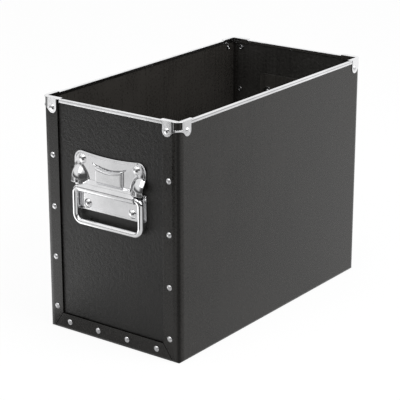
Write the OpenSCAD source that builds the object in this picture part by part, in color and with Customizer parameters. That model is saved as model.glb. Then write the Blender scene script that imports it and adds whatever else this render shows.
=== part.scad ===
// Open file box of folded fibreboard, with metal rims, corner caps, rivets and a drop handle at each end.
// Origin: middle of the underside. +Z is up, the ends with the handles face -Y and +Y.

/* [Box] */
// Outside width across the long sides
box_w = 190; // [160:1:260]
// Outside length over the folded end flanges
box_l = 368; // [260:1:460]
// Height of the board walls
wall_h = 274; // [245:1:340]
// Thickness of the folded sheet
wrap_t = 2; // [1.5:0.1:3]
// Thickness of the end panels
panel_t = 2; // [1.5:0.1:3]
// Outside radius of the upright corners
corner_r = 9; // [6:0.5:11]
// Outside radius of the folds along the bottom
fold_r = 4; // [3.2:0.1:6]
// Width of the upright flanges on the ends, over the corner
flange_w = 22; // [18:0.5:28]
// Height of the bottom flanges on the ends
flange_h = 20; // [16:0.5:26]
// Foot of the mitre cut, in from the side
mitre_foot = 8; // [6:0.5:12]
// Width of the mitre cut
mitre_gap = 0.7; // [0.4:0.1:1.5]

/* [Rims] */
// Sheet thickness of the rims
rim_t = 0.5; // [0.4:0.1:1.2]
// Height of the rims, over the sheet
rim_leg = 4.1; // [3.5:0.1:8]
// Outer radius of the rim's two upper edges
rim_r = 0.75; // [0.5:0.05:1]
// How far a side rim runs in under its caps, measured from the end of the box
side_rim_inset = 12; // [11:0.5:16]

/* [Corner caps] */
// Sheet thickness of the caps
cap_t = 0.8; // [0.5:0.1:1.2]
// Length of each top arm, from the corner
cap_arm = 25; // [24:0.5:34]
// Depth of the lips inside the box
cap_lip = 6; // [4:0.1:8]
// Distance of the tab's rivet from the corner
tab_in = 15; // [14:0.5:16]
// Distance of the tab's rivet below the top of the wall
tab_drop = 10; // [9:0.1:14]
// Radius of the tab's round end
tab_r = 6; // [5:0.1:8]
// Distance of the lower edge of the band round the corner below the top of the wall
web_drop = 9.6; // [9:0.1:12]
// Depth of that band
web_h = 1.9; // [1.5:0.1:4]
// Radius of the hollow between the band and a tab
web_fillet = 9; // [3:0.5:10]
// Width of the open window between the band and the cap's top, across the corner
window_w = 9.4; // [6:0.1:10]
// Head radius of the caps' rivets
cap_head_r = 3.8; // [3:0.1:4]

/* [Rivets] */
// Head radius of the board rivets
rivet_head_r = 3.4; // [2.8:0.1:4]
// Head height of the board rivets
rivet_head_h = 1.5; // [1:0.1:2.2]
// Shank radius of all rivets
shank_r = 1.6; // [1.2:0.1:2]
// Radius of the rolled inner ends
clench_r = 3; // [2.6:0.1:3.2]
// Height of the rolled inner ends
clench_h = 1.1; // [0.9:0.1:1.6]
// Distance of the upright rows from the sides
row_in = 13.5; // [12.5:0.5:15]
// Height of the lowest rivet of an upright row
row_low = 27; // [24:1:40]
// Distance of the highest rivet of an upright row below the top of the wall
row_top_drop = 65; // [50:1:90]
// Rivets in each upright row
row_count = 4; // [2:1:6]
// Height of the bottom row
foot_row_z = 11; // [9.5:0.5:14]
// Spacing of the bottom row
foot_pitch = 42; // [30:1:44]
// Rivets in the bottom row
foot_count = 4; // [2:1:4]

/* [Handle plate] */
// Width of the handle plate
plate_w = 100; // [95:1:108]
// Sheet thickness of the handle plate
plate_t = 1.2; // [0.9:0.1:1.5]
// Plate below the bail's axis
plate_down = 26.5; // [24:0.5:32]
// Plate above the bail's axis
plate_up = 41; // [39:0.5:48]
// Distance of the bail's axis below the top of the wall
pivot_drop = 93.5; // [85:0.5:110]
// Radius of the plate's upper corners
plate_top_r = 10; // [6:0.5:12]
// Radius of the plate's lower corners
plate_foot_r = 5; // [3:0.5:8]
// Dip of the top edge in the middle
top_dip = 2.5; // [1:0.1:4]
// Step up from the plate's border to its face
border_step = 0.5; // [0.3:0.1:0.8]
// Width of that border
border_w = 2.4; // [1.5:0.1:3]
// Distance of the upper rivets from the plate's sides
plate_rivet_top_in = 12; // [9.5:0.5:14.5]
// Height of the upper rivets above the bail's axis
plate_rivet_top_z = 32; // [31:0.5:34]
// Distance of the lower rivets from the plate's sides
plate_rivet_foot_in = 18.5; // [15.5:0.5:22.5]
// Depth of the lower rivets below the bail's axis
plate_rivet_foot_z = 18.5; // [15:0.5:19]
// Head radius of the handle rivets
plate_head_r = 5.4; // [4.5:0.1:6]
// Head height of the handle rivets
plate_head_h = 2.6; // [2:0.1:3]

/* [Handle pressings] */
// How far the bead over the bail's bar ends before the rod bends
bead_short = 0.5; // [0.5:0.5:4]
// Height above the bail's axis at which the bead's hood starts
hood_top = 10.5; // [9.5:0.5:12]
// Distance of an ear's middle from the middle of the bail's arm, inward
ear_in = 2.5; // [0.5:0.5:4.5]
// Height of an ear's crest over the end panel
ear_h = 9.8; // [8:0.1:11]
// Height of an ear's open mouth above the bail's axis
ear_mouth = 5.6; // [5:0.1:7]
// Height of an ear's top above the bail's axis
ear_top = 25; // [22:0.5:27]
// Depth of an ear's cone axis behind the end panel
ear_sink = 6; // [4:0.5:8]
// Half width of the raised panel
raise_half = 19; // [15:0.5:22]
// Rise of the raised panel
raise_h = 3.6; // [2:0.1:5]
// Bottom of the raised panel above the bail's axis
raise_low = 9; // [8:0.5:11]
// Middle of the curved slit above the bail's axis
slit_mid = 24.5; // [22:0.5:26]
// Rise of the slit at the raised panel's sides
slit_rise = 3; // [1.5:0.1:4]
// Width of the slit
slit_w = 1; // [0.8:0.1:2.5]
// How far the slit runs past the raised panel at each side
slit_over = 4.5; // [2:0.5:6]

/* [Bail] */
// Radius of the bail's rod
rod_r = 3.5; // [3:0.1:3.6]
// Distance of the bail's outer sides from the plate's sides
bail_in = 0.5; // [0:0.1:2]
// Drop from the bail's axis to the middle of its grip
bail_drop = 40; // [36:0.5:50]
// Bend radius of the grip's corners, to the middle of the rod
grip_bend = 9; // [6:0.5:12]
// Bend radius of the corners at the bead, to the middle of the rod
bar_bend = 6.5; // [6:0.1:6.7]
// Gap where the rod's two ends meet inside the bead
butt_gap = 0.6; // [0.3:0.1:1]
// Air between the hanging bail and the plate
bail_air = 1.1; // [0.5:0.1:1.5]

/* [Backing board] */
// How far the board behind each handle, inside the box, ends short of the plate's sides
backing_in = 0.5; // [0:0.1:3]
// Thickness of the backing board
backing_t = 1.6; // [1:0.1:2.5]
// Backing board above the bail's axis
backing_up = 54.5; // [42:0.5:60]
// Backing board below the bail's axis
backing_down = 37.5; // [28:0.5:50]
// Corner radius of the backing board
backing_r = 6; // [3:0.5:10]
// Radius of the washers under the handle rivets
washer_r = 6; // [5:0.1:7]
// Thickness of those washers
washer_t = 0.8; // [0.5:0.1:1.2]

/* [Clearances] */
// Gap between an end panel and the folded sheet around it
panel_gap = 0.1; // [0.05:0.05:0.3]
// Gap between a rim's leg and its board
rim_gap = 0.15; // [0.05:0.05:0.3]
// Gap between a cap and what it covers
cap_gap = 0.1; // [0.05:0.05:0.2]
// Gap between the ends of neighbouring metal pieces
end_gap = 0.4; // [0.2:0.1:0.8]
// Radial gap between a rivet's shank and its holes
hole_gap = 0.05; // [0.03:0.01:0.1]
// Radial gap between the bail's bar and its bead
bead_gap = 0.35; // [0.3:0.05:0.5]

/* [Hidden] */
$fn = 96;
ENDS = ["front", "rear"];

board_colour = "#232221";
panel_colour = "#1d1c1b";
metal_colour = "#c9cbcd";
plate_colour = "#d6d7d9";

over = 1; // how far a cutting solid runs past what it cuts
FLAT_ARC = 360; // facets of the wide, flat arcs
HOLLOW_STEPS = 8; // straight steps along a cap's hollow
half_w = box_w / 2;
half_l = box_l / 2;
flange_x = half_w - flange_w;
row_x = half_w - row_in;
row_pitch = (wall_h - row_top_drop - row_low) / (row_count - 1);
hole_r = shank_r + hole_gap;

// end panel, measured outward along Y
panel_y = half_l - wrap_t - panel_gap;
panel_half = half_w - corner_r - panel_gap;
end_t = wrap_t + panel_gap + panel_t;

// rims and caps
rim_side = rim_gap + rim_t;
cap_out = cap_gap + cap_t;
cap_under = wall_h + rim_t + cap_gap;
cap_top = cap_under + cap_t;
cap_in_side = wrap_t + rim_side + cap_out;
cap_in_end = end_t + rim_side + cap_out;
tab_edge = tab_in + tab_r;
tab_z = wall_h - tab_drop;
web_low = wall_h - web_drop;
web_top = web_low + web_h;

// handle, in its own frame: X across, Y out of the end panel, Z up from the bail's axis
pivot_z = wall_h - pivot_drop;
bail_y = plate_t + bail_air + rod_r;
bead_in_r = rod_r + bead_gap;
bead_out_r = bead_in_r + plate_t;
plate_half = plate_w / 2;
arm_x = plate_half - bail_in - rod_r;
bead_half = arm_x - bar_bend - bead_short;
ear_x = arm_x - ear_in;
backing_w = plate_w - 2 * backing_in;
rivet_top_x = plate_half - plate_rivet_top_in;
rivet_foot_x = plate_half - plate_rivet_foot_in;
plate_rivets = [
    [-rivet_top_x, plate_rivet_top_z], [rivet_top_x, plate_rivet_top_z],
    [-rivet_foot_x, -plate_rivet_foot_z], [rivet_foot_x, -plate_rivet_foot_z]
];
face_t = plate_t + border_step;

// the hood is a tangent from the bead's circle down to the plate's face
hood_foot = [plate_t - bail_y, hood_top];
hood_angle = atan2(hood_foot.y, hood_foot.x) - acos(bead_out_r / norm(hood_foot));
hood_dir = [-sin(hood_angle), cos(hood_angle)];

// radius of an arc from its chord and its rise
function arc_radius(half_chord, rise) = (pow(half_chord, 2) + pow(rise, 2)) / (2 * rise);

// ---- helpers ----

// Rectangle with round corners, about the origin
module round_rect(w, l, r) {
    square([w - 2 * r, l], center = true);
    square([w, l - 2 * r], center = true);
    for (x = [-1, 1], y = [-1, 1])
        translate([x * (w / 2 - r), y * (l / 2 - r)]) circle(r);
}

// Wall section, as wide as w at the foot's fold and open upwards
module folded_section(w, low, high, r) {
    translate([-w / 2, low + r]) square([w, high - low - r]);
    translate([-w / 2 + r, low]) square([w - 2 * r, high - low]);
    for (x = [-1, 1])
        translate([x * (w / 2 - r), low + r]) circle(r);
}

// Extrudes an outline drawn in Y and Z along X, about the middle
module along_x(length) {
    rotate([90, 0, 90]) translate([0, 0, -length / 2]) linear_extrude(length) children();
}

// Extrudes an outline drawn in X and Z along Y, from one place to another
module along_y(from, to) {
    translate([0, to, 0]) rotate([90, 0, 0]) linear_extrude(to - from) children();
}

// Puts something modelled at the rear end at the end that is named
module at_end(end) {
    rotate([0, 0, end == "front" ? 180 : 0]) children();
}

// Puts the handle's frame at the end that is named
module at_handle(end) {
    at_end(end) translate([0, panel_y, pivot_z]) children();
}

// Lays something along outward Y that was modelled along Z
module outward() {
    rotate([-90, 0, 0]) children();
}

// Rivet with its seat at the origin and its head along Z; grip is the thickness that it holds
module rivet(head_r, head_h, grip) {
    dome_r = arc_radius(head_r, head_h);
    half_roll = clench_h / 2;
    core = shank_r / 2;
    rotate_extrude() {
        intersection() {
            translate([0, head_h - dome_r]) circle(dome_r);
            square([head_r, head_h]);
        }
        difference() {
            translate([0, -grip - half_roll]) square([shank_r, grip + half_roll]);
            translate([0, -grip - clench_h]) square([core, clench_h + grip / 3]);
        }
        translate([core, -grip - half_roll]) square([clench_r - core - half_roll, half_roll]);
        translate([clench_r - half_roll, -grip - half_roll]) circle(half_roll);
        translate([core + half_roll / 2, -grip - half_roll]) circle(half_roll / 2);
    }
}

// Places of the rivets in one end's flanges, in X and Z
flange_points = concat(
    [for (side = [-1, 1], n = [0 : row_count - 1]) [side * row_x, row_low + n * row_pitch]],
    [for (n = [0 : foot_count - 1]) [(n - (foot_count - 1) / 2) * foot_pitch, foot_row_z]]
);

// Holes through one end, for the rivets of its flanges and its caps
module end_holes() {
    for (p = concat(flange_points, [for (side = [-1, 1]) [side * (half_w - tab_in), tab_z]]))
        translate([p.x, panel_y - panel_t - over, p.y]) outward() cylinder(h = end_t + 2 * over, r = hole_r);
}

// ---- boards ----

// Solid form of the box, taken in by the thickness that is given
module box_form(inset, high) {
    r = fold_r - inset;
    intersection() {
        linear_extrude(high) round_rect(box_w - 2 * inset, box_l - 2 * inset, corner_r - inset);
        along_y(-half_l, half_l) folded_section(box_w - 2 * inset, inset, high, r);
        along_x(box_w) folded_section(box_l - 2 * inset, inset, high, r);
    }
}

// Opening between the flanges of one end, and the mitre cuts at its lower corners
module end_window() {
    along_y(half_l - wrap_t - over, half_l + over)
        translate([-flange_x, flange_h]) square([2 * flange_x, wall_h]);
    foot_x = half_w - mitre_foot;
    for (side = [0, 1])
        mirror([side, 0, 0])
            along_y(half_l - wrap_t - panel_gap, half_l + over)
                translate([flange_x, flange_h])
                    rotate(atan2(-flange_h, foot_x - flange_x))
                        translate([-mitre_gap, -mitre_gap / 2])
                            square([norm([foot_x - flange_x, flange_h - fold_r]) + mitre_gap, mitre_gap]);
}

module folded_body() {
    color(board_colour)
        difference() {
            box_form(0, wall_h);
            box_form(wrap_t, wall_h + over);
            for (end = ENDS)
                at_end(end) {
                    end_window();
                    end_holes();
                }
            for (side = [-1, 1], end = [-1, 1])
                translate([side * (half_w + over), end * (half_l - tab_in), tab_z])
                    rotate([0, -side * 90, 0]) cylinder(h = wrap_t + 2 * over, r = hole_r);
        }
}

// Flat board behind the flanges, whose foot is eased to the bend of the bottom flange
module end_panel(end) {
    color(panel_colour)
        at_end(end)
            difference() {
                intersection() {
                    box_form(wrap_t + panel_gap, wall_h);
                    along_y(panel_y - panel_t, panel_y)
                        translate([-panel_half, 0]) square([2 * panel_half, wall_h]);
                }
                end_holes();
                translate([0, panel_y, pivot_z]) handle_holes();
            }
}

module backing_board(end) {
    color(board_colour)
        at_handle(end)
            difference() {
                along_y(-panel_t - backing_t, -panel_t)
                    translate([0, (backing_up - backing_down) / 2])
                        round_rect(backing_w, backing_up + backing_down, backing_r);
                handle_holes();
            }
}

// ---- rims ----

// Channel section that straddles a board of thickness t, with the board's outer face at 0
module rim_section(t) {
    width = t + 2 * rim_side;
    translate([-t - rim_side, wall_h + rim_t - rim_leg])
        difference() {
            union() {
                square([width, rim_leg - rim_r]);
                translate([rim_r, 0]) square([width - 2 * rim_r, rim_leg]);
                for (x = [rim_r, width - rim_r])
                    translate([x, rim_leg - rim_r]) circle(rim_r);
            }
            translate([rim_t, -over]) square([t + 2 * rim_gap, rim_leg - rim_t + over]);
        }
}

module end_rim(end) {
    color(metal_colour)
        at_end(end)
            translate([0, panel_y, 0])
                along_x(2 * (flange_x - end_gap)) rim_section(panel_t);
}

// Side rim, whose outer leg stops at the caps' tabs and whose upper web runs in under the caps
module side_rim(side) {
    leg_end = half_l - tab_edge - end_gap;
    color(metal_colour)
        rotate([0, 0, side == "right" ? -90 : 90])
            difference() {
                translate([0, half_w, 0])
                    along_x(2 * (half_l - side_rim_inset)) rim_section(wrap_t);
                for (end = [0, 1])
                    mirror([end, 0, 0])
                        translate([leg_end, half_w, wall_h - rim_leg])
                            cube([tab_edge, 2 * rim_side, rim_leg + 2 * rim_t]);
            }
}

// ---- corner caps ----

// Square at the corner of the plan, as far along both sides as the size that is given
module corner_square(size) {
    translate([half_w - size, half_l - size]) square(size + cap_out + 2 * over);
}

// Outline of the skirt on one face, with the corner at X = 0: a round tab, then a hollow and the band
module tab_outline() {
    tab = [tab_in, tab_z];
    hollow_z = web_low - web_fillet;
    reach = tab_r + web_fillet;
    hollow = [tab_in - sqrt(pow(reach, 2) - pow(tab_z - hollow_z, 2)), hollow_z];
    meet = atan2(tab.y - hollow.y, tab.x - hollow.x);
    arc = [for (a = [90 : (meet - 90) / HOLLOW_STEPS : meet]) hollow + web_fillet * [cos(a), sin(a)]];
    past = cap_out + over;
    translate(tab) circle(tab_r);
    translate(tab) square([tab_r, cap_top - tab_z]);
    polygon(concat([[-past, cap_top], [-past, web_low]], arc, [tab, [tab_in, cap_top]]));
}

// Corner of the box's plan, grown by the given gap and cut off past the given arm
module corner_plan(gap, arm) {
    intersection() {
        round_rect(box_w + 2 * gap, box_l + 2 * gap, corner_r + gap);
        corner_square(arm);
    }
}

// Plan up to the lips' inner faces, or to their outer ones with the sheet's thickness taken off
module inside_plan(sheet) {
    wall = wrap_t + cap_gap;
    intersection() {
        translate([-half_w, -half_l])
            square([box_w - cap_in_side + sheet, box_l - cap_in_end + sheet]);
        round_rect(box_w - 2 * wall, box_l - 2 * wall, corner_r - wall);
    }
}

// Top plate with the lips that reach down inside the box
module cap_top_plate() {
    difference() {
        translate([0, 0, cap_top - cap_lip])
            linear_extrude(cap_lip)
                difference() {
                    corner_plan(cap_out, cap_arm);
                    inside_plan(0);
                }
        translate([0, 0, cap_top - cap_lip - over])
            linear_extrude(cap_lip - cap_t + over)
                difference() {
                    corner_plan(cap_out + over, cap_arm + over);
                    inside_plan(cap_t);
                }
    }
}

// Skirt over the two outer faces and round the corner, before it is pierced
module skirt_blank() {
    intersection() {
        translate([0, 0, tab_z - tab_r])
            linear_extrude(cap_top - tab_z + tab_r)
                difference() {
                    corner_plan(cap_out, tab_edge);
                    round_rect(box_w + 2 * cap_gap, box_l + 2 * cap_gap, corner_r + cap_gap);
                }
        union() {
            along_y(half_l - corner_r, half_l + 2 * cap_out)
                translate([half_w, 0]) mirror([1, 0]) tab_outline();
            translate([half_w, 0, 0])
                along_x(2 * corner_r)
                    translate([half_l, 0]) mirror([1, 0]) tab_outline();
        }
    }
}

// Skirt with the window between its band and the cap's top, and the rivet holes of its two tabs
module cap_skirt() {
    difference() {
        skirt_blank();
        translate([half_w - corner_r, half_l - corner_r, web_top])
            rotate([0, 0, 45])
                translate([0, -window_w / 2, 0]) cube([2 * corner_r, window_w, cap_under - web_top]);
        translate([half_w - tab_in, half_l - over, tab_z])
            outward() cylinder(h = 2 * over + cap_out, r = hole_r);
        translate([half_w - over, half_l - tab_in, tab_z])
            rotate([0, 90, 0]) cylinder(h = 2 * over + cap_out, r = hole_r);
    }
}

// Cap at the rear right corner, whose outer faces meet at +X and +Y
module corner_cap() {
    cap_top_plate();
    cap_skirt();
}

// The cap is symmetric about the box's two upright planes, so the others are mirrored
module cap(front, left) {
    color(metal_colour)
        mirror([0, front ? 1 : 0, 0])
            mirror([left ? 1 : 0, 0, 0])
                corner_cap();
}

// ---- rivets ----

module flange_rivets(end) {
    color(metal_colour)
        at_end(end)
            for (p = flange_points)
                translate([p.x, half_l, p.y])
                    outward() rivet(rivet_head_r, rivet_head_h, end_t);
}

module cap_rivets(end) {
    color(metal_colour)
        at_end(end)
            for (side = [0, 1])
                mirror([side, 0, 0]) {
                    translate([half_w - tab_in, half_l + cap_out, tab_z])
                        outward() rivet(cap_head_r, rivet_head_h, end_t + cap_out);
                    translate([half_w + cap_out, half_l - tab_in, tab_z])
                        rotate([0, 90, 0]) rivet(cap_head_r, rivet_head_h, wrap_t + cap_out);
                }
}

// ---- handle ----

// Holes for the four handle rivets, in the handle's frame
module handle_holes() {
    depth = panel_t + backing_t + washer_t + over;
    for (p = plate_rivets)
        translate([p.x, -depth, p.y]) outward() cylinder(h = depth + face_t + over, r = hole_r);
}

module handle_rivets(end) {
    color(metal_colour)
        at_handle(end)
            for (p = plate_rivets)
                translate([p.x, face_t, p.y])
                    outward() rivet(plate_head_r, plate_head_h, face_t + panel_t + backing_t + washer_t);
}

module handle_washers(end) {
    seat = -panel_t - backing_t;
    color(metal_colour)
        at_handle(end)
            for (p = plate_rivets)
                translate([p.x, seat - washer_t, p.y])
                    outward()
                        difference() {
                            cylinder(h = washer_t, r = washer_r);
                            translate([0, 0, -over]) cylinder(h = washer_t + 2 * over, r = hole_r);
                        }
}

// Plate outline, taken in by the border that is given: round corners and a hollow top edge
module plate_outline(border) {
    w = plate_w - 2 * border;
    up = plate_up - border;
    down = plate_down - border;
    top_r = plate_top_r - border;
    foot_r = plate_foot_r - border;
    dip_r = arc_radius(plate_half - plate_top_r, top_dip);
    difference() {
        union() {
            translate([-w / 2, -down + foot_r]) square([w, up + down - foot_r - top_r]);
            translate([-w / 2 + foot_r, -down]) square([w - 2 * foot_r, down + up - top_r]);
            translate([-w / 2 + top_r, 0]) square([w - 2 * top_r, up]);
            for (x = [-1, 1]) {
                translate([x * (w / 2 - foot_r), -down + foot_r]) circle(foot_r);
                translate([x * (w / 2 - top_r), up - top_r]) circle(top_r);
            }
        }
        translate([0, up - top_dip + dip_r]) circle(dip_r, $fn = FLAT_ARC);
    }
}

// Bead and hood section in Y and Z, with the sheet's outer radius or its inner one
module bead_section(r) {
    tangent = [bail_y, 0] + r * [cos(hood_angle), sin(hood_angle)];
    run = tangent.x / -hood_dir.x;
    foot = tangent + run * hood_dir;
    translate([bail_y, 0]) circle(r);
    translate([0, -r]) square([bail_y, 2 * r]);
    polygon([[0, 0], [bail_y, 0], tangent, foot]);
}

// Cone of an ear, grown by the sheet's thickness or not
module ear_form(grow) {
    crest = ear_sink + ear_h - plate_t + grow;
    for (x = [-1, 1])
        translate([x * ear_x, -ear_sink, ear_mouth])
            cylinder(h = ear_top - ear_mouth, r1 = crest, r2 = ear_sink + grow);
}

// Raised panel's outline under the slit's arc
module raised_outline(side, low, high) {
    slit_r = arc_radius(raise_half, slit_rise);
    difference() {
        translate([-side, low]) square([2 * side, slit_mid + 2 * slit_rise - low]);
        translate([0, high + slit_r]) circle(slit_r, $fn = FLAT_ARC);
    }
}

// Band of the slit, which runs past the raised panel at both sides
module slit_band() {
    slit_r = arc_radius(raise_half, slit_rise);
    intersection() {
        translate([-raise_half - slit_over, slit_mid - over])
            square([2 * (raise_half + slit_over), 4 * slit_rise]);
        translate([0, slit_mid + slit_r])
            difference() {
                circle(slit_r, $fn = FLAT_ARC);
                translate([0, slit_w]) circle(slit_r, $fn = FLAT_ARC);
            }
    }
}

module handle_plate(end) {
    back = plate_t * 2;
    color(plate_colour)
        at_handle(end)
            difference() {
                intersection() {
                    union() {
                        along_y(0, plate_t) plate_outline(0);
                        along_y(0, face_t) plate_outline(border_w);
                        along_x(2 * bead_half) bead_section(bead_out_r);
                        ear_form(plate_t);
                        along_y(0, raise_h + plate_t) raised_outline(raise_half, raise_low, slit_mid);
                    }
                    along_y(0, bail_y + 2 * bead_out_r) plate_outline(0);
                }
                along_x(2 * bead_half + over) {
                    bead_section(bead_in_r);
                    translate([-over, -bead_in_r]) square([2 * over, 2 * bead_in_r]);
                }
                ear_form(0);
                along_y(-back, raise_h)
                    raised_outline(raise_half - plate_t, raise_low + plate_t, slit_mid + over);
                along_y(-back, face_t + over) slit_band();
                handle_holes();
            }
}

// Quarter bend of the rod in the X and Z plane, from +X round to -Z, about the origin
module rod_bend(bend) {
    rotate([90, 0, 0]) rotate_extrude(angle = 90) translate([bend, 0]) circle(rod_r);
}

// Straight rod from one point to another along X or Z
module rod(from, to) {
    length = norm(to - from);
    translate([from.x, 0, from.y])
        rotate([0, atan2(to.x - from.x, to.y - from.y), 0]) cylinder(h = length, r = rod_r);
}

module bail(end) {
    color(metal_colour)
        at_handle(end)
            translate([0, bail_y, 0])
                for (side = [0, 1])
                    mirror([side, 0, 0]) {
                        rod([butt_gap / 2, 0], [arm_x - bar_bend, 0]);
                        translate([arm_x - bar_bend, 0, -bar_bend]) rod_bend(bar_bend);
                        rod([arm_x, -bar_bend], [arm_x, -bail_drop + grip_bend]);
                        translate([arm_x - grip_bend, 0, -bail_drop + grip_bend])
                            mirror([0, 0, 1]) rod_bend(grip_bend);
                        rod([0, -bail_drop], [arm_x - grip_bend, -bail_drop]);
                    }
}

folded_body();
end_panel("front");  // front_end_panel
end_panel("rear");  // rear_end_panel
end_rim("front");  // front_rim
end_rim("rear");  // rear_rim
side_rim("left");  // left_rim
side_rim("right");  // right_rim
cap(true, true);  // front_left_cap
cap(true, false);  // front_right_cap
cap(false, true);  // rear_left_cap
cap(false, false);  // rear_right_cap
flange_rivets("front");  // front_flange_rivets
flange_rivets("rear");  // rear_flange_rivets
cap_rivets("front");  // front_cap_rivets
cap_rivets("rear");  // rear_cap_rivets
handle_plate("front");  // front_handle_plate
handle_plate("rear");  // rear_handle_plate
bail("front");  // front_bail
bail("rear");  // rear_bail
handle_rivets("front");  // front_handle_rivets
handle_rivets("rear");  // rear_handle_rivets
handle_washers("front");  // front_handle_washers
handle_washers("rear");  // rear_handle_washers
backing_board("front");  // front_backing_board
backing_board("rear");  // rear_backing_board
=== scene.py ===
import math

import bpy
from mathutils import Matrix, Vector


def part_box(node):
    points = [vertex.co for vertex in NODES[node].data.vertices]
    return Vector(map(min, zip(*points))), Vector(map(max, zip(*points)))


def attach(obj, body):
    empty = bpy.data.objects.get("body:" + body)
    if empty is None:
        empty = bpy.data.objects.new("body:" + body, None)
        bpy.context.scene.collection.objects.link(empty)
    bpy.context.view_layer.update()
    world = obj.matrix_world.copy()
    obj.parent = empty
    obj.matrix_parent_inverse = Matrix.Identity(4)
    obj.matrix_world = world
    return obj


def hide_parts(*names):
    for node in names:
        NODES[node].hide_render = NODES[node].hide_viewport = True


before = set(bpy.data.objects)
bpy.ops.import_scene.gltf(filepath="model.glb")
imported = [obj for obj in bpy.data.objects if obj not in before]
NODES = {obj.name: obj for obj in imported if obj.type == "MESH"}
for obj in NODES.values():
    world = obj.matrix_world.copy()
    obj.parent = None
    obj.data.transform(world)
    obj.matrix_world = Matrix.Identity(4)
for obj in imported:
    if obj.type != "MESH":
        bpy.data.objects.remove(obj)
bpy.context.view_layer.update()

MM_IN_M = 1000

# ---- camera, as the photograph shows the box ----
PHOTO_PX = 400
FOCAL_PX = 1570.3
SENSOR_MM = 36.0
AZIMUTH = 36.455
ELEVATION = 18.675
DISTANCE = 1.8843
LOOK_AT = Vector((-0.01311, 0.0, 0.1193))

# ---- finishes: linear colours ----
SIDE_BOARD = (0.0135, 0.0125, 0.0112)
# matte near-black of the cut edges, partly their own colour and partly painted shadow; also painted shade in
# the seams, and laid over the folds
END_BOARD = (0.0105, 0.0100, 0.0092)
EDGE_BLACK_AND_SHADE = (0.0030, 0.0028, 0.0026)
BOARD_IOR = 1.44
STEEL = (0.90, 0.90, 0.91)
PLATE_STEEL = (0.77, 0.77, 0.78)
RIVET_STEEL = (0.72, 0.72, 0.73)
FLOOR_WHITE = (0.95, 0.95, 0.95)

# ---- the studio: light of the surroundings, and the dark room that bright surfaces mirror ----
WORLD_LIGHT = 0.55
ROOM_DARKNESS = 0.93
ROOM_FOOT = (-0.02, 0.04)
# each band's azimuth, the cosines between which its sides fade, and the heights between which its top does
ROOM_BANDS = ((20.0, (-0.35, 0.05), (0.14, 0.27)), (50.0, (0.20, 0.62), (0.45, 0.62)))
FLOOR_HALF = 12.0
FLOOR_Z = -0.0002
FLOOR_GLOW = 0.93
FLOOR_SLOPE = (-1.356, 1.0, 0.0)
FLOOR_LEVEL = ((-0.38, 0.12), (0.60, 1.04))

# name: azimuth and elevation in degrees, distance and side in metres, and watts
LAMPS = {"key": (95, 40, 2.6, 1.6, 42), "fill": (-5, 42, 3.0, 1.1, 14), "top": (30, 85, 2.4, 1.4, 14)}

# ---- cards on the floor: how bright they look in what mirrors them, and their corners in metres ----
CARD_Z = 0.0005
CARDS = {
    "dark_card": (0.08, [(-0.161, -0.504), (-6.67, -9.30), (3.0, -10.5), (0.22, -0.66), (0.04, -0.56)]),
    "left_card": (1.8, [(-0.106, -0.222), (-0.35, -0.55), (-0.58, -0.68), (-0.75, -0.68), (-0.75, -0.19),
                        (-0.16, -0.19)]),
    "far_left_card": (0.2, [(-0.80, -1.0), (-5.0, -4.0), (-6.0, 3.0), (-0.5, 0.75), (-0.70, 0.2),
                            (-0.82, -0.2)]),
    "foot_card": (0.42, [(-0.093, -0.187), (0.093, -0.187), (0.057, -0.236), (-0.129, -0.236)]),
}

# ---- where the sheet's cut edges and the rims' groove lie, in metres ----
BODY_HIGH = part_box("folded_body")[1]
EDGE_X = BODY_HIGH[0] - 0.006
EDGE_Y = BODY_HIGH[1] - 0.004
EDGE_Z = 0.030
# the height of the stripe of painted shade along the rims
RIM_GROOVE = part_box("front_rim")[1][2] - 0.0016

# ---- details of the finishes ----
NOISE_SPAN = (0.3, 0.7)
STREAK_STRETCH = (300.0, 300.0, 7.0)
SCUFF_STRETCH = (60.0, 60.0, 160.0)
CLOUD_SCALE = 14.0
EDGE_SOFTNESS = 0.0006
# painted shade: how far the occlusion reaches that darkens the seams between parts, and the part of it that
# fades to the black
SEAM_SHADE_REACH = 0.0030
SEAM_SHADE_SPAN = (0.25, 0.75)
# the folds' rounds take this share of the matte near-black, which shows them darker than the flat faces
FOLD_SPAN = (0.78, 0.91)
FOLD_MATTE_SHARE = 0.6
WAVE_SCALE = 70.0
FINE_SCALE = 900.0
FINE_DEPTH = 0.00002
SMUDGE_SCALE = 45.0
SMUDGED = 0.86
# painted shade on steel: the share of colour kept on faces that look into the box
INSIDE_SHADE = 0.25
# painted shade along the rims' groove: the share of colour kept, its strength and its width
GROOVE_SHADE = 0.2
GROOVE_SHADE_STRENGTH = 0.75
GROOVE_SPAN = (0.0001, 0.0006)

# ---- pressed handle plates, in millimetres from the bail's axis and out from the end panel ----
PLATE_LOW, PLATE_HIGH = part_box("front_handle_plate")
PLATE_HALF = PLATE_HIGH[0] * MM_IN_M
PLATE_DOWN = 26.5
PLATE_UP = 41.0
PANEL_Y = -PLATE_HIGH[1] * MM_IN_M
PIVOT_Z = PLATE_LOW[2] * MM_IN_M + PLATE_DOWN
TOP_R = 10.0
FOOT_R = 5.0
TOP_DIP = 2.5
SHEET = 1.2
BORDER_STEP = 0.5
BORDER_W = 2.4
BEAD_HALF = 39.0
BEAD_R = 5.03
BEAD_OUT = 5.8
HOOD_TOP = 10.5
EAR_X = 43.5
EAR_SINK = 6.0
EAR_H = 9.8
EAR_MOUTH = 5.6
EAR_TOP = 25.0
EAR_LIFT = 0.15
EAR_ROUND = 2.0
EAR_REACH = 1.7
RAISE_HALF = 19.0
RAISE_H = 3.1
RAISE_LOW = 9.0
SLIT_MID = 24.5
SLIT_RISE = 3.0
SLIT_W = 1.0
SLIT_OVER = 4.5
LIP_W = 2.0
LIP_H = 1.1
LIP_TAIL = 1.6
LIP_TAIL_DEPTH = 0.25

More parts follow.
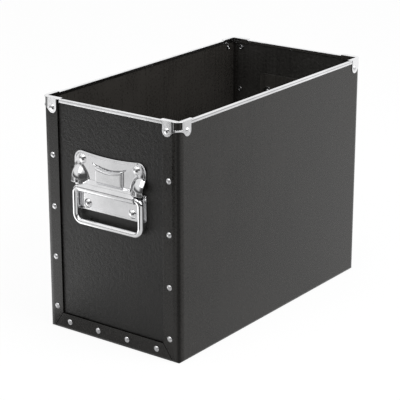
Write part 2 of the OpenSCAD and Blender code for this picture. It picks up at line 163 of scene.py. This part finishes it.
# ---- how softly the pressed forms meet, in millimetres ----
BEAD_BLEND = 0.5
EAR_BLEND = 1.9
BORDER_FADE = (-0.5, 0.4)
RAISE_FADE = (-0.2, 1.3)
SLIT_FADE = (-0.1, 0.12)
SLIT_FAR_FADE = (-0.12, 0.1)
SLIT_END_FADE = 0.6
SLIT_FLOOR = 0.05

# ---- the plates' mesh: a gap between the sides of a step in millimetres, and counts of columns and rows ----
HAIR = 0.02
COLUMNS_OVER_BEAD = 74
COLUMNS_BESIDE = 28
ROWS_BELOW = 44
ROWS_ACROSS = 26
ROWS_ABOVE = 104
SHEET_SHOWN_M = 0.0009


def direction(azimuth, elevation):
    """Unit vector from the object to a viewer at that azimuth and elevation, in degrees."""
    a, e = math.radians(azimuth), math.radians(elevation)
    return Vector((math.sin(a) * math.cos(e), -math.cos(a) * math.cos(e), math.sin(e)))


def aim(obj, towards):
    """Turns a camera or lamp so that it looks at a point."""
    obj.rotation_mode = "QUATERNION"
    obj.rotation_quaternion = (towards - obj.location).to_track_quat("-Z", "Y")


def add(name, data):
    obj = bpy.data.objects.new(name, data)
    bpy.context.scene.collection.objects.link(obj)
    return obj


def make_camera():
    lens = bpy.data.cameras.new("photo_camera")
    lens.sensor_width = SENSOR_MM
    lens.lens = FOCAL_PX / PHOTO_PX * SENSOR_MM
    camera = add("photo_camera", lens)
    camera.location = LOOK_AT + direction(AZIMUTH, ELEVATION) * DISTANCE
    aim(camera, LOOK_AT)
    bpy.context.scene.camera = camera


class Shader:
    """Short forms for building a material's nodes."""

    def __init__(self, name):
        self.material = bpy.data.materials.new(name)
        self.material.use_nodes = True
        self.nodes = self.material.node_tree.nodes
        self.links = self.material.node_tree.links
        self.bsdf = self.nodes["Principled BSDF"]
        self.output = self.nodes["Material Output"]
        self.place = self.nodes.new("ShaderNodeTexCoord").outputs["Object"]

    def node(self, kind, **settings):
        made = self.nodes.new("ShaderNode" + kind)
        for key, value in settings.items():
            setattr(made, key, value)
        return made

    def feed(self, socket, value):
        """Links a socket to another, or sets its value."""
        if isinstance(value, bpy.types.NodeSocket):
            self.links.new(value, socket)
        else:
            socket.default_value = value

    def stretch(self, scale):
        """The object's own coordinates, scaled along X, Y and Z."""
        mapping = self.node("Mapping")
        self.feed(mapping.inputs["Vector"], self.place)
        mapping.inputs["Scale"].default_value = scale
        return mapping.outputs["Vector"]

    def noise(self, vector, scale, detail, roughness):
        made = self.node("TexNoise")
        self.feed(made.inputs["Vector"], vector)
        made.inputs["Scale"].default_value = scale
        made.inputs["Detail"].default_value = detail
        made.inputs["Roughness"].default_value = roughness
        return made.outputs["Fac"]

    def math(self, operation, a, b=0.0):
        made = self.node("Math", operation=operation)
        self.feed(made.inputs[0], a)
        self.feed(made.inputs[1], b)
        return made.outputs[0]

    def span(self, value, low, high, to_low, to_high):
        """Maps a value from one range to another, clamped."""
        made = self.node("MapRange")
        self.feed(made.inputs["Value"], value)
        for key, number in zip(("From Min", "From Max", "To Min", "To Max"), (low, high, to_low, to_high)):
            made.inputs[key].default_value = number
        return made.outputs["Result"]

    def mix(self, factor, a, b):
        made = self.node("Mix", data_type="RGBA", blend_type="MIX")
        self.feed(made.inputs["Factor"], factor)
        for key, value in (("A", a), ("B", b)):
            socket = [s for s in made.inputs if s.name == key and s.type == "RGBA"][0]
            self.feed(socket, value if isinstance(value, bpy.types.NodeSocket) else (*value, 1.0))
        return [s for s in made.outputs if s.type == "RGBA"][0]

    def bump(self, height, distance, under):
        """The normal of a bumpy surface, over another normal."""
        made = self.node("Bump")
        made.inputs["Strength"].default_value = 1.0
        made.inputs["Distance"].default_value = distance
        self.feed(made.inputs["Height"], height)
        self.feed(made.inputs["Normal"], under)
        return made.outputs["Normal"]

    def blend(self, share, a, b):
        """Gives the surface a share of shader b, and the rest of a."""
        made = self.node("MixShader")
        for socket, value in zip(made.inputs, (share, a, b)):
            self.feed(socket, value)
        self.feed(self.output.inputs["Surface"], made.outputs[0])

    def rounded(self, radius):
        """The normal of the same surface with its sharp edges rounded a little."""
        made = self.node("Bevel", samples=6)
        made.inputs["Radius"].default_value = radius
        return made.outputs["Normal"]

    def facing_in(self):
        """1 on faces that look towards the middle of the box, and 0 on those that look outward."""
        geometry = self.node("NewGeometry")
        flat = self.node("VectorMath", operation="MULTIPLY")
        self.feed(flat.inputs[0], self.place)
        flat.inputs[1].default_value = (1, 1, 0)
        dot = self.node("VectorMath", operation="DOT_PRODUCT")
        self.feed(dot.inputs[0], flat.outputs[0])
        self.feed(dot.inputs[1], geometry.outputs["True Normal"])
        return self.math("LESS_THAN", dot.outputs["Value"], -0.05)

    def folds(self):
        """1 on the round of a fold, and 0 on the flat faces."""
        geometry = self.node("NewGeometry")
        split = self.node("SeparateXYZ")
        self.feed(split.inputs[0], geometry.outputs["Normal"])
        x, y, z = (self.math("ABSOLUTE", split.outputs[axis]) for axis in "XYZ")
        most = self.math("MAXIMUM", self.math("MAXIMUM", x, y), z)
        return self.span(most, *FOLD_SPAN, 1.0, 0.0)

    def cut_edges(self):
        """1 on the narrow edges of the flanges, where the sheet was cut, and 0 on its faces."""
        geometry = self.node("NewGeometry")
        split = self.node("SeparateXYZ")
        self.feed(split.inputs[0], geometry.outputs["True Normal"])
        where = self.node("SeparateXYZ")
        self.feed(where.inputs[0], self.place)
        across = self.math("MULTIPLY",
                           self.math("GREATER_THAN", self.math("ABSOLUTE", split.outputs["X"]), 0.6),
                           self.math("LESS_THAN", self.math("ABSOLUTE", where.outputs["X"]), EDGE_X))
        above = self.math("MULTIPLY",
                          self.math("GREATER_THAN", split.outputs["Z"], 0.6),
                          self.math("GREATER_THAN", self.math("ABSOLUTE", where.outputs["Y"]), EDGE_Y))
        above = self.math("MULTIPLY", above, self.math("LESS_THAN", where.outputs["Z"], EDGE_Z))
        return self.math("MAXIMUM", across, above)


def board(name, colour, grain_scale, grain_depth, streak, gloss, inside):
    """Black hard fibreboard: grain, upright streaks, scuffs and uneven gloss, with painted shade in its
    seams, cut edges in a matte black that is partly painted shadow, and darker matte folds.

    inside is how many times lighter the faces are that look into the box: painted light, standing in for the
    light that reaches into it.
    """
    s = Shader(name)
    s.bsdf.inputs["IOR"].default_value = BOARD_IOR
    grain = s.noise(s.place, grain_scale, 6.0, 0.62)
    streaks = s.noise(s.stretch(STREAK_STRETCH), 1.0, 5.0, 0.6)
    clouds = s.noise(s.place, CLOUD_SCALE, 4.0, 0.5)
    scuffs = s.span(s.noise(s.stretch(SCUFF_STRETCH), 1.0, 8.0, 0.7), 0.62, 0.8, 0.0, 1.0)
    tone = s.span(streaks, *NOISE_SPAN, 1.0 - streak, 1.0 + streak)
    tone = s.math("ADD", tone, s.span(clouds, *NOISE_SPAN, -0.2, 0.2))
    tone = s.math("ADD", tone, s.span(grain, *NOISE_SPAN, -0.3, 0.3))
    tone = s.math("ADD", tone, s.math("MULTIPLY", scuffs, 0.5))
    # painted light: faces that look into the box are made lighter
    tone = s.math("MULTIPLY", tone, s.math("ADD", s.math("MULTIPLY", s.facing_in(), inside - 1.0), 1.0))
    rough = s.span(grain, *NOISE_SPAN, gloss - 0.1, gloss + 0.1)
    rough = s.math("ADD", rough, s.span(streaks, *NOISE_SPAN, -0.03, 0.03))
    rough = s.math("ADD", rough, s.span(clouds, *NOISE_SPAN, -0.04, 0.04))
    value = s.node("CombineColor")
    for key, part in zip(("Red", "Green", "Blue"), colour):
        s.feed(value.inputs[key], s.math("MULTIPLY", tone, part))
    s.feed(s.bsdf.inputs["Base Color"], value.outputs["Color"])
    s.feed(s.bsdf.inputs["Roughness"], rough)
    s.feed(s.bsdf.inputs["Normal"], s.bump(grain, grain_depth, s.rounded(EDGE_SOFTNESS)))
    # matte near-black mixed over the cut edges as partly painted shadow, over the seams as painted shade, and
    # over the folds
    black_edge_and_shade = s.node("BsdfDiffuse")
    black_edge_and_shade.inputs["Color"].default_value = (*EDGE_BLACK_AND_SHADE, 1)
    seam_shade = s.node("AmbientOcclusion", samples=6)
    seam_shade.inputs["Distance"].default_value = SEAM_SHADE_REACH
    dark = s.math("MAXIMUM", s.cut_edges(), s.span(seam_shade.outputs["AO"], *SEAM_SHADE_SPAN, 1.0, 0.0))
    # the rounds of the folds go darker and matte
    dark = s.math("MAXIMUM", dark, s.math("MULTIPLY", s.folds(), FOLD_MATTE_SHARE))
    s.blend(dark, s.bsdf.outputs[0], black_edge_and_shade.outputs[0])
    return s.material


def shade(colour, share):
    return tuple(c * share for c in colour)


def steel(name, colour, roughness, ripple, round_to, groove=0.0, inside=0.0):
    """Bright plated steel: ripples from pressing, fine grain and uneven polish.

    groove is the height of a stripe of painted shade along a rim, where a groove is rolled in. inside is the
    share of painted shade on faces that look into the box.
    """
    s = Shader(name)
    waves = s.noise(s.place, WAVE_SCALE, 2.0, 0.4)
    fine = s.noise(s.place, FINE_SCALE, 3.0, 0.6)
    smudge = s.noise(s.place, SMUDGE_SCALE, 5.0, 0.6)
    paint = s.mix(s.span(smudge, 0.35, 0.7, 0.0, 1.0), colour, shade(colour, SMUDGED))
    # painted shade: faces that look into the box go darker
    if inside:
        paint = s.mix(s.math("MULTIPLY", s.facing_in(), inside), paint, shade(colour, INSIDE_SHADE))
    # painted shade: a dark stripe along the rim's groove
    if groove:
        where = s.node("SeparateXYZ")
        s.feed(where.inputs[0], s.place)
        off = s.math("ABSOLUTE", s.math("SUBTRACT", where.outputs["Z"], groove))
        groove_shade_line = s.span(off, *GROOVE_SPAN, 1.0, 0.0)
        paint = s.mix(s.math("MULTIPLY", groove_shade_line, GROOVE_SHADE_STRENGTH), paint, shade(colour, GROOVE_SHADE))
    s.feed(s.bsdf.inputs["Base Color"], paint)
    s.bsdf.inputs["Metallic"].default_value = 1.0
    s.feed(s.bsdf.inputs["Roughness"], s.span(smudge, *NOISE_SPAN, roughness * 0.7, roughness * 1.4))
    pressed = s.bump(waves, ripple, s.rounded(round_to))
    s.feed(s.bsdf.inputs["Normal"], s.bump(fine, FINE_DEPTH, pressed))
    return s.material


def smooth(value, low, high):
    """0 below low, 1 above high and a soft step between them."""
    t = min(max((value - low) / (high - low), 0.0), 1.0)
    return t * t * (3 - 2 * t)


def merge(a, b, soft):
    """The higher of two heights, with a rounded valley where they meet."""
    return (a + b + math.sqrt((a - b) ** 2 + soft * soft)) / 2


def arc_radius(half, rise):
    """Radius of an arc with that half chord and rise."""
    return (half * half + rise * rise) / (2 * rise)


DIP_R = arc_radius(PLATE_HALF - TOP_R, TOP_DIP)
SLIT_R = arc_radius(RAISE_HALF, SLIT_RISE)


def plate_top(x):
    """Height of the plate's dipped top edge, with its round corners."""
    side = abs(x) - (PLATE_HALF - TOP_R)
    if side <= 0:
        return PLATE_UP - TOP_DIP + DIP_R - math.sqrt(DIP_R ** 2 - x * x)
    return PLATE_UP - TOP_R + math.sqrt(max(TOP_R ** 2 - side ** 2, 0.0))


def plate_foot(x):
    """Height of the plate's straight foot, with its round corners."""
    side = max(abs(x) - (PLATE_HALF - FOOT_R), 0.0)
    return FOOT_R - PLATE_DOWN - math.sqrt(max(FOOT_R ** 2 - side ** 2, 0.0))


def edge_distance(x, z):
    """Distance from a point on the plate to its outline."""
    ax = abs(x)
    if ax > PLATE_HALF - TOP_R and z > PLATE_UP - TOP_R:
        return TOP_R - math.hypot(ax - PLATE_HALF + TOP_R, z - PLATE_UP + TOP_R)
    if ax > PLATE_HALF - FOOT_R and z < FOOT_R - PLATE_DOWN:
        return FOOT_R - math.hypot(ax - PLATE_HALF + FOOT_R, z + PLATE_DOWN - FOOT_R)
    dip = math.hypot(x, z - (PLATE_UP - TOP_DIP + DIP_R)) - DIP_R
    return min(PLATE_HALF - ax, z + PLATE_DOWN, dip)


def bead_height(z):
    """Height of the half round bead over the bail's bar, and of the hood from it to the plate above."""
    reach = math.hypot(BEAD_OUT, HOOD_TOP)
    turn = math.atan2(HOOD_TOP, -BEAD_OUT) - math.acos(BEAD_R / reach)
    top_out, top_z = BEAD_OUT + BEAD_R * math.cos(turn), BEAD_R * math.sin(turn)
    if z <= top_z:
        return BEAD_OUT + math.sqrt(max(BEAD_R ** 2 - z * z, 0.0))
    return max(top_out * (HOOD_TOP - z) / (HOOD_TOP - top_z), 0.0)


def ear_height(x, z):
    """Rounded cone beside the bead, which makes room for the bail's shoulder."""
    t = min((z - EAR_MOUTH) / (EAR_TOP - EAR_MOUTH), EAR_REACH)
    crest = EAR_H + (SHEET - EAR_H) * t + EAR_LIFT + EAR_ROUND * math.sin(math.pi * min(t, 1.0))
    radius = EAR_SINK + crest
    return math.sqrt(max(radius ** 2 - (abs(x) - EAR_X) ** 2, 0.0)) - EAR_SINK


def slit_share(x, above_arc):
    """1 in the curved slit over the raised panel, and 0 away from it."""
    share = smooth(above_arc, *SLIT_FADE)
    share *= 1 - smooth(above_arc, SLIT_W + SLIT_FAR_FADE[0], SLIT_W + SLIT_FAR_FADE[1])
    slit_end = RAISE_HALF + SLIT_OVER
    return share * (1 - smooth(abs(x), slit_end - SLIT_END_FADE, slit_end))


def raised_panel(x, z, above_arc):
    """Height that the raised panel and the lip along its slit add to the plate."""
    if above_arc >= -SLIT_FADE[0]:
        return 0.0
    height = RAISE_H
    lip = -above_arc / LIP_W
    if 0 < lip < LIP_TAIL:
        height += LIP_H * math.sin(math.pi * lip) * (1.0 if lip < 1 else LIP_TAIL_DEPTH)
    return height * smooth(min(RAISE_HALF - abs(x), z - RAISE_LOW), *RAISE_FADE)


def plate_height(x, z, over_mouth):
    """Height of the pressed sheet's face over the end panel."""
    border = smooth(edge_distance(x, z), BORDER_W + BORDER_FADE[0], BORDER_W + BORDER_FADE[1])
    above_arc = z - (SLIT_MID + SLIT_R - math.sqrt(SLIT_R ** 2 - x * x))
    h = SHEET + BORDER_STEP * border + raised_panel(x, z, above_arc)
    if abs(x) < BEAD_HALF and z > -BEAD_R - HAIR / 2:
        h = merge(h, bead_height(z), BEAD_BLEND)
    if over_mouth:
        h = merge(h, ear_height(x, z), EAR_BLEND)
    slit = slit_share(x, above_arc)
    return h * (1 - slit) + SLIT_FLOOR * slit


def steps(start, end, count):
    """Even steps from start to end, with both."""
    return [start + (end - start) * n / count for n in range(count + 1)]


def plate_columns():
    """Places of the mesh's columns across the plate, closer towards its sides."""
    beside = PLATE_HALF - BEAD_HALF - HAIR
    half = steps(0, BEAD_HALF - HAIR, COLUMNS_OVER_BEAD)
    half += [BEAD_HALF + HAIR + beside * math.sin(a) for a in steps(0, math.pi / 2, COLUMNS_BESIDE)]
    return [-x for x in reversed(half[1:])] + half


def column_points(x):
    """One column's points, from the foot to the top, with the height of the sheet at each."""
    rows = [(z, False) for z in steps(plate_foot(x), -BEAD_R - 3 * HAIR, ROWS_BELOW)]
    rows += [(z, False) for z in steps(-BEAD_R, EAR_MOUTH - HAIR, ROWS_ACROSS)]
    rows += [(z, True) for z in steps(EAR_MOUTH, plate_top(x), ROWS_ABOVE)]
    return [(x, plate_height(x, z, over_mouth), z) for z, over_mouth in rows]


def plate_faces(columns):
    """Faces between neighbouring columns, with the bead's ends and the ears' mouths left open."""
    rows = ROWS_BELOW + ROWS_ACROSS + ROWS_ABOVE + 3
    mouth_row = ROWS_BELOW + ROWS_ACROSS + 1
    faces = []
    for i, (here, following) in enumerate(zip(columns, columns[1:])):
        bead_end = following - here < 3 * HAIR and abs(here) > BEAD_HALF - 1
        beside_bead = abs(here + following) / 2 > BEAD_HALF
        for j in range(rows - 1):
            if bead_end and ROWS_BELOW <= j < mouth_row or beside_bead and j == mouth_row:
                continue
            a = i * rows + j
            faces.append((a, a + rows, a + rows + 1, a + 1))
    return faces


def make_plate(end, side, material):
    """Pressed plate with rounded creases, open at the bead's ends and the ears' mouths."""
    columns = plate_columns()
    points = [point for x in columns for point in column_points(x)]
    placed = [(-side * x / MM_IN_M, side * (PANEL_Y + out) / MM_IN_M, (PIVOT_Z + z) / MM_IN_M)
              for x, out, z in points]
    mesh = bpy.data.meshes.new(end + "_pressed_plate")
    mesh.from_pydata(placed, [], plate_faces(columns))
    mesh.polygons.foreach_set("use_smooth", [True] * len(mesh.polygons))
    mesh.update()
    mesh.materials.append(material)
    plate = add(end + "_pressed_plate", mesh)
    thick = plate.modifiers.new("sheet", "SOLIDIFY")
    thick.thickness = SHEET_SHOWN_M
    thick.offset = -1.0
    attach(plate, "box")
    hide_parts(end + "_handle_plate")


def dress(material, *names):
    """Gives a finish to every CAD node whose name holds one of the words."""
    for name, node in NODES.items():
        if any(word in name for word in names):
            node.data.materials.clear()
            node.data.materials.append(material)


def make_lamp(name, azimuth, elevation, distance, size, watts):
    lamp = bpy.data.lights.new(name, "AREA")
    lamp.shape = "SQUARE"
    lamp.size = size
    lamp.energy = watts
    obj = add(name, lamp)
    obj.location = LOOK_AT + direction(azimuth, elevation) * distance
    aim(obj, LOOK_AT)


def smooth_step(tree, value, low, high):
    """0 below low, 1 above high and a soft step between them."""
    made = tree.nodes.new("ShaderNodeMapRange")
    made.interpolation_type = "SMOOTHSTEP"
    tree.links.new(value, made.inputs["Value"])
    made.inputs["From Min"].default_value = low
    made.inputs["From Max"].default_value = high
    return made.outputs["Result"]


def world_math(tree, operation, a, b):
    """A sum, product or the like of two numbers or sockets."""
    made = tree.nodes.new("ShaderNodeMath")
    made.operation = operation
    for socket, value in zip(made.inputs, (a, b)):
        if isinstance(value, bpy.types.NodeSocket):
            tree.links.new(value, socket)
        else:
            socket.default_value = value
    return made.outputs[0]


def make_world():
    """White studio. What mirrors it also sees a dark room, as a low band and a higher one at the right."""
    world = bpy.data.worlds.new("studio")
    bpy.context.scene.world = world
    world.use_nodes = True
    tree = world.node_tree
    background = tree.nodes["Background"]
    path = tree.nodes.new("ShaderNodeLightPath")
    ray = tree.nodes.new("ShaderNodeTexCoord").outputs["Generated"]
    split = tree.nodes.new("ShaderNodeSeparateXYZ")
    tree.links.new(ray, split.inputs[0])
    height = split.outputs["Z"]
    dark = 0.0
    for azimuth, side, top in ROOM_BANDS:
        facing = tree.nodes.new("ShaderNodeVectorMath")
        facing.operation = "DOT_PRODUCT"
        tree.links.new(ray, facing.inputs[0])
        facing.inputs[1].default_value = direction(azimuth, 0)
        over_foot = smooth_step(tree, height, *ROOM_FOOT)
        band = world_math(tree, "SUBTRACT", over_foot, smooth_step(tree, height, *top))
        band = world_math(tree, "MULTIPLY", band, smooth_step(tree, facing.outputs["Value"], *side))
        dark = world_math(tree, "MAXIMUM", dark, band)
    mirrored = world_math(tree, "SUBTRACT", 1.0, world_math(tree, "MULTIPLY", dark, ROOM_DARKNESS))
    glossy = path.outputs["Is Glossy Ray"]
    seen = world_math(tree, "MAXIMUM", path.outputs["Is Camera Ray"], path.outputs["Is Transmission Ray"])
    plain = world_math(tree, "SUBTRACT", 1.0, world_math(tree, "MAXIMUM", seen, glossy))
    strength = world_math(tree, "ADD", seen, world_math(tree, "MULTIPLY", plain, WORLD_LIGHT))
    strength = world_math(tree, "ADD", strength, world_math(tree, "MULTIPLY", glossy, mirrored))
    background.inputs["Color"].default_value = (1, 1, 1, 1)
    tree.links.new(strength, background.inputs["Strength"])


def make_floor():
    """White floor that keeps a faint shadow. What mirrors it sees it darken along a slope."""
    mesh = bpy.data.meshes.new("floor")
    corners = [(x * FLOOR_HALF, y * FLOOR_HALF, 0) for x, y in ((-1, -1), (1, -1), (1, 1), (-1, 1))]
    mesh.from_pydata(corners, [], [(0, 1, 2, 3)])
    floor = add("floor", mesh)
    floor.location.z = FLOOR_Z
    s = Shader("floor_white")
    s.bsdf.inputs["Base Color"].default_value = (*FLOOR_WHITE, 1)
    s.bsdf.inputs["Roughness"].default_value = 0.9
    s.bsdf.inputs["Specular IOR Level"].default_value = 0.0
    path = s.node("LightPath")
    glow = s.node("Emission")
    slope = s.node("VectorMath", operation="DOT_PRODUCT")
    s.feed(slope.inputs[0], s.place)
    slope.inputs[1].default_value = FLOOR_SLOPE
    mirrored = s.span(slope.outputs["Value"], *FLOOR_LEVEL[0], *FLOOR_LEVEL[1])
    away = s.math("MULTIPLY", path.outputs["Is Glossy Ray"], s.math("SUBTRACT", mirrored, 1.0))
    s.feed(glow.inputs["Strength"], s.math("ADD", away, 1.0))
    seen = s.math("MAXIMUM", path.outputs["Is Camera Ray"], path.outputs["Is Glossy Ray"])
    s.blend(s.math("MULTIPLY", seen, FLOOR_GLOW), s.bsdf.outputs[0], glow.outputs[0])
    mesh.materials.append(s.material)


def make_card(name, bright, corners):
    """A card that only the surfaces that mirror it show: it lights and shades nothing itself."""
    mesh = bpy.data.meshes.new(name)
    mesh.from_pydata([(x, y, CARD_Z) for x, y in corners], [], [tuple(range(len(corners)))])
    card = add(name, mesh)
    card.visible_camera = False
    card.visible_diffuse = False
    card.visible_shadow = False
    s = Shader(name)
    glow = s.node("Emission")
    glow.inputs["Strength"].default_value = bright
    s.feed(s.output.inputs["Surface"], glow.outputs[0])
    mesh.materials.append(s.material)


def dress_nodes():
    """Gives every CAD node its finish."""
    # each board's inside factor paints light onto its faces that look into the box
    dress(board("side_board", SIDE_BOARD, grain_scale=420.0, grain_depth=0.00008, streak=0.14, gloss=0.30,
                inside=2.2), "folded_body")
    dress(board("back_board", SIDE_BOARD, grain_scale=420.0, grain_depth=0.00010, streak=0.2, gloss=0.45,
                inside=2.6), "backing")
    dress(board("end_board", END_BOARD, grain_scale=300.0, grain_depth=0.00060, streak=0.2, gloss=0.38,
                inside=2.8), "end_panel")
    dress(steel("rim_steel", STEEL, roughness=0.14, ripple=0.00004, round_to=0.0009, groove=RIM_GROOVE),
          "rim")
    dress(steel("cap_steel", STEEL, roughness=0.10, ripple=0.00010, round_to=0.0006), "cap")
    dress(steel("bail_steel", STEEL, roughness=0.09, ripple=0.00006, round_to=0.0004), "bail")
    # inside paints shade on the rivets' faces that look into the box
    dress(steel("rivet_steel", STEEL, roughness=0.12, ripple=0.00003, round_to=0.0003, inside=0.8),
          "cap_rivets", "handle_rivets", "washers")
    dress(steel("flange_rivet_steel", RIVET_STEEL, roughness=0.32, ripple=0.00003, round_to=0.0003,
                inside=0.8), "flange_rivets")


make_camera()
make_world()
make_floor()
for card_name, (card_bright, card_corners) in CARDS.items():
    make_card(card_name, card_bright, card_corners)
for lamp_name, lamp_values in LAMPS.items():
    make_lamp(lamp_name, *lamp_values)

dress_nodes()
handle_steel = steel("handle_steel", PLATE_STEEL, roughness=0.13, ripple=0.00006, round_to=0.0004)
dress(handle_steel, "plate")
for end_name, end_side in (("front", -1), ("rear", 1)):
    make_plate(end_name, end_side, handle_steel)

bpy.context.scene.view_settings.view_transform = "Standard"
